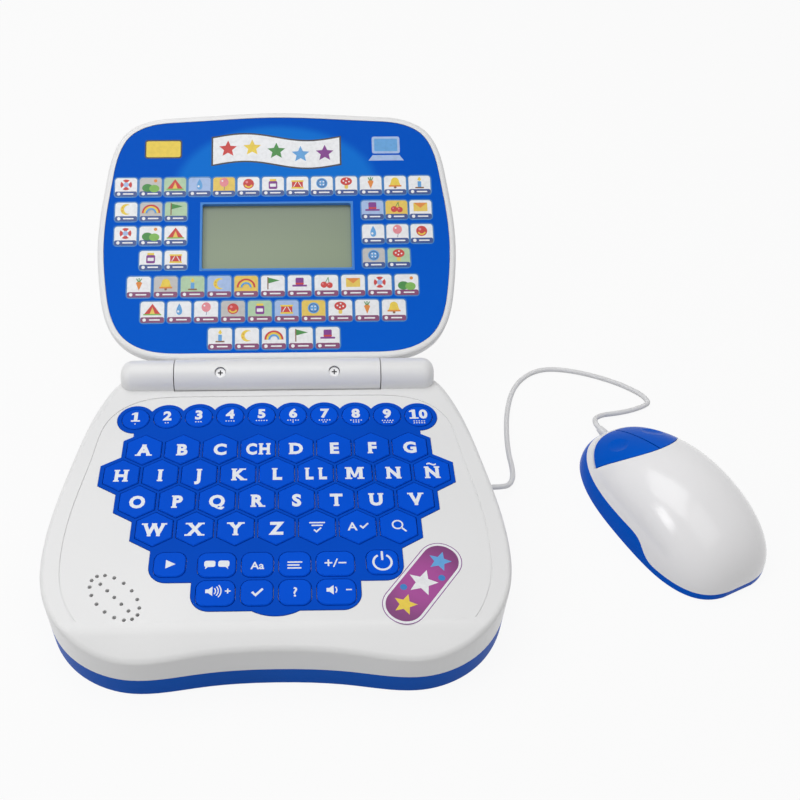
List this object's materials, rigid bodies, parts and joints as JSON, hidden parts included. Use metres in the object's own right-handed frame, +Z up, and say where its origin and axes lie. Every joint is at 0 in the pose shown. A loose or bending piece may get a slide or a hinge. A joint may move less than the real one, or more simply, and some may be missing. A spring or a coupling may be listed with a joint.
{
  "type": "toy laptop computer",
  "caption": "Toy laptop with a honeycomb keypad, a hinged lid with a picture panel and small LCD, and an egg-shaped mouse on a short cord.",
  "frame": {"origin": "middle of the base's flat underside", "axes": "+Z up from the table, +Y from the keypad to the hinge, +X to the right towards the mouse"},
  "size_m": [0.3295, 0.2902, 0.1063],
  "materials": {
    "white_shell": "satin gloss",
    "blue_shell": "satin gloss",
    "keypad_blue": "satin",
    "key_blue": "satin",
    "panel_blue": "printed, glossy",
    "lcd_grey": "reflective display",
    "circuit_board": "satin",
    "steel": "plated",
    "cord_white": "satin",
    "battery_can": "satin",
    "circuit_film": "satin",
    "dark_plastic": "matt"
  },
  "bodies": {
    "base": {"base_bottom_cover": "blue_shell", "base_cord_boot": "cord_white", "base_top_cover": "white_shell", "battery_cells": "battery_can", "battery_contacts": "steel", "battery_door": "blue_shell", "battery_door_screw": "steel", "case_screws": "steel", "hinge_pins": "steel", "hinge_posts": "white_shell", "keypad_circuit": "circuit_film", "keypad_mat": "keypad_blue", "main_board": "circuit_board", "mouse_cord": "cord_white", "speaker": "dark_plastic"},
    "lid": {"lid_front_frame": "white_shell", "lid_back_cover": "white_shell", "hinge_cover": "white_shell", "hinge_cover_screws": "steel", "lid_screws": "steel", "picture_panel": "panel_blue", "lcd_panel": "lcd_grey", "lcd_board": "circuit_board"},
    "mouse": {"mouse_top_shell": "white_shell", "mouse_bottom_shell": "blue_shell", "mouse_board": "circuit_board", "mouse_switches": "dark_plastic", "mouse_screws": "steel", "mouse_cord_boot": "cord_white"},
    "left_button": {"mouse_left_button": "blue_shell"},
    "right_button": {"mouse_right_button": "blue_shell"},
    "key_ask_body": {"key_ask": "key_blue"},
    "key_demo_body": {"key_demo": "key_blue"},
    "key_find_letter_body": {"key_find_letter": "key_blue"},
    "key_language_body": {"key_language": "key_blue"},
    "key_letters_body": {"key_letters": "key_blue"},
    "key_number_1_body": {"key_number_1": "key_blue"},
    "key_number_10_body": {"key_number_10": "key_blue"},
    "key_number_2_body": {"key_number_2": "key_blue"},
    "key_number_3_body": {"key_number_3": "key_blue"},
    "key_number_4_body": {"key_number_4": "key_blue"},
    "key_number_5_body": {"key_number_5": "key_blue"},
    "key_number_6_body": {"key_number_6": "key_blue"},
    "key_number_7_body": {"key_number_7": "key_blue"},
    "key_number_8_body": {"key_number_8": "key_blue"},
    "key_number_9_body": {"key_number_9": "key_blue"},
    "key_power_body": {"key_power": "key_blue"},
    "key_question_body": {"key_question": "key_blue"},
    "key_spelling_body": {"key_spelling": "key_blue"},
    "key_spelling_test_body": {"key_spelling_test": "key_blue"},
    "key_volume_down_body": {"key_volume_down": "key_blue"},
    "key_volume_up_body": {"key_volume_up": "key_blue"},
    "key_word_test_body": {"key_word_test": "key_blue"},
    "key_words_body": {"key_words": "key_blue"},
    "letter_keys_a_to_g_body": {"letter_keys_a_to_g": "key_blue"},
    "letter_keys_h_to_n_body": {"letter_keys_h_to_n": "key_blue"},
    "letter_keys_o_to_v_body": {"letter_keys_o_to_v": "key_blue"},
    "letter_keys_w_to_z_body": {"letter_keys_w_to_z": "key_blue"}
  },
  "joints": [
    {"name": "lid_hinge", "type": "hinge", "parent": "base", "child": "lid", "pos_m": [0, 0.075, 0.0325], "axis": [1, 0, 0], "range_deg": [0, 150]},
    {"name": "mouse_glide", "type": "slide", "parent": "base", "child": "mouse", "axis": [-0.4067, 0.9135, 0], "range_m": [-0.015, 0.008], "deforming": ["mouse_cord"]},
    {"name": "mouse_left_click", "type": "hinge", "parent": "mouse", "child": "left_button", "pos_m": [0.18188, 0.02703, 0.027], "axis": [-0.9135, -0.4067, 0], "range_deg": [0, 1.6], "stiffness_Nm_per_rad": 1, "springref_deg": -1.72},
    {"name": "mouse_right_click", "type": "hinge", "parent": "mouse", "child": "right_button", "pos_m": [0.18188, 0.02703, 0.027], "axis": [-0.9135, -0.4067, 0], "range_deg": [0, 1.6], "stiffness_Nm_per_rad": 1, "springref_deg": -1.72},
    {"name": "press_ask", "type": "slide", "parent": "base", "child": "key_ask_body", "axis": [0, 0, -1], "range_m": [0, 0.0006], "stiffness_N_per_m": 600, "springref_m": -0.0006},
    {"name": "press_demo", "type": "slide", "parent": "base", "child": "key_demo_body", "axis": [0, 0, -1], "range_m": [0, 0.0006], "stiffness_N_per_m": 600, "springref_m": -0.0006},
    {"name": "press_find_letter", "type": "slide", "parent": "base", "child": "key_find_letter_body", "axis": [0, 0, -1], "range_m": [0, 0.0006], "stiffness_N_per_m": 600, "springref_m": -0.0006},
    {"name": "press_language", "type": "slide", "parent": "base", "child": "key_language_body", "axis": [0, 0, -1], "range_m": [0, 0.0006], "stiffness_N_per_m": 600, "springref_m": -0.0006},
    {"name": "press_letters", "type": "slide", "parent": "base", "child": "key_letters_body", "axis": [0, 0, -1], "range_m": [0, 0.0006], "stiffness_N_per_m": 600, "springref_m": -0.0006},
    {"name": "press_number_1", "type": "slide", "parent": "base", "child": "key_number_1_body", "axis": [0, 0, -1], "range_m": [0, 0.0006], "stiffness_N_per_m": 600, "springref_m": -0.0006},
    {"name": "press_number_10", "type": "slide", "parent": "base", "child": "key_number_10_body", "axis": [0, 0, -1], "range_m": [0, 0.0006], "stiffness_N_per_m": 600, "springref_m": -0.0006},
    {"name": "press_number_2", "type": "slide", "parent": "base", "child": "key_number_2_body", "axis": [0, 0, -1], "range_m": [0, 0.0006], "stiffness_N_per_m": 600, "springref_m": -0.0006},
    {"name": "press_number_3", "type": "slide", "parent": "base", "child": "key_number_3_body", "axis": [0, 0, -1], "range_m": [0, 0.0006], "stiffness_N_per_m": 600, "springref_m": -0.0006},
    {"name": "press_number_4", "type": "slide", "parent": "base", "child": "key_number_4_body", "axis": [0, 0, -1], "range_m": [0, 0.0006], "stiffness_N_per_m": 600, "springref_m": -0.0006},
    {"name": "press_number_5", "type": "slide", "parent": "base", "child": "key_number_5_body", "axis": [0, 0, -1], "range_m": [0, 0.0006], "stiffness_N_per_m": 600, "springref_m": -0.0006},
    {"name": "press_number_6", "type": "slide", "parent": "base", "child": "key_number_6_body", "axis": [0, 0, -1], "range_m": [0, 0.0006], "stiffness_N_per_m": 600, "springref_m": -0.0006},
    {"name": "press_number_7", "type": "slide", "parent": "base", "child": "key_number_7_body", "axis": [0, 0, -1], "range_m": [0, 0.0006], "stiffness_N_per_m": 600, "springref_m": -0.0006},
    {"name": "press_number_8", "type": "slide", "parent": "base", "child": "key_number_8_body", "axis": [0, 0, -1], "range_m": [0, 0.0006], "stiffness_N_per_m": 600, "springref_m": -0.0006},
    {"name": "press_number_9", "type": "slide", "parent": "base", "child": "key_number_9_body", "axis": [0, 0, -1], "range_m": [0, 0.0006], "stiffness_N_per_m": 600, "springref_m": -0.0006},
    {"name": "press_power", "type": "slide", "parent": "base", "child": "key_power_body", "axis": [0, 0, -1], "range_m": [0, 0.0006], "stiffness_N_per_m": 600, "springref_m": -0.0006},
    {"name": "press_question", "type": "slide", "parent": "base", "child": "key_question_body", "axis": [0, 0, -1], "range_m": [0, 0.0006], "stiffness_N_per_m": 600, "springref_m": -0.0006},
    {"name": "press_spelling", "type": "slide", "parent": "base", "child": "key_spelling_body", "axis": [0, 0, -1], "range_m": [0, 0.0006], "stiffness_N_per_m": 600, "springref_m": -0.0006},
    {"name": "press_spelling_test", "type": "slide", "parent": "base", "child": "key_spelling_test_body", "axis": [0, 0, -1], "range_m": [0, 0.0006], "stiffness_N_per_m": 600, "springref_m": -0.0006},
    {"name": "press_volume_down", "type": "slide", "parent": "base", "child": "key_volume_down_body", "axis": [0, 0, -1], "range_m": [0, 0.0006], "stiffness_N_per_m": 600, "springref_m": -0.0006},
    {"name": "press_volume_up", "type": "slide", "parent": "base", "child": "key_volume_up_body", "axis": [0, 0, -1], "range_m": [0, 0.0006], "stiffness_N_per_m": 600, "springref_m": -0.0006},
    {"name": "press_word_test", "type": "slide", "parent": "base", "child": "key_word_test_body", "axis": [0, 0, -1], "range_m": [0, 0.0006], "stiffness_N_per_m": 600, "springref_m": -0.0006},
    {"name": "press_words", "type": "slide", "parent": "base", "child": "key_words_body", "axis": [0, 0, -1], "range_m": [0, 0.0006], "stiffness_N_per_m": 600, "springref_m": -0.0006},
    {"name": "press_letters_a_to_g", "type": "slide", "parent": "base", "child": "letter_keys_a_to_g_body", "axis": [0, 0, -1], "range_m": [0, 0.0006], "stiffness_N_per_m": 2400, "springref_m": -0.0006},
    {"name": "press_letters_h_to_n", "type": "slide", "parent": "base", "child": "letter_keys_h_to_n_body", "axis": [0, 0, -1], "range_m": [0, 0.0006], "stiffness_N_per_m": 2400, "springref_m": -0.0006},
    {"name": "press_letters_o_to_v", "type": "slide", "parent": "base", "child": "letter_keys_o_to_v_body", "axis": [0, 0, -1], "range_m": [0, 0.0006], "stiffness_N_per_m": 2400, "springref_m": -0.0006},
    {"name": "press_letters_w_to_z", "type": "slide", "parent": "base", "child": "letter_keys_w_to_z_body", "axis": [0, 0, -1], "range_m": [0, 0.0006], "stiffness_N_per_m": 2400, "springref_m": -0.0006}
  ]
}
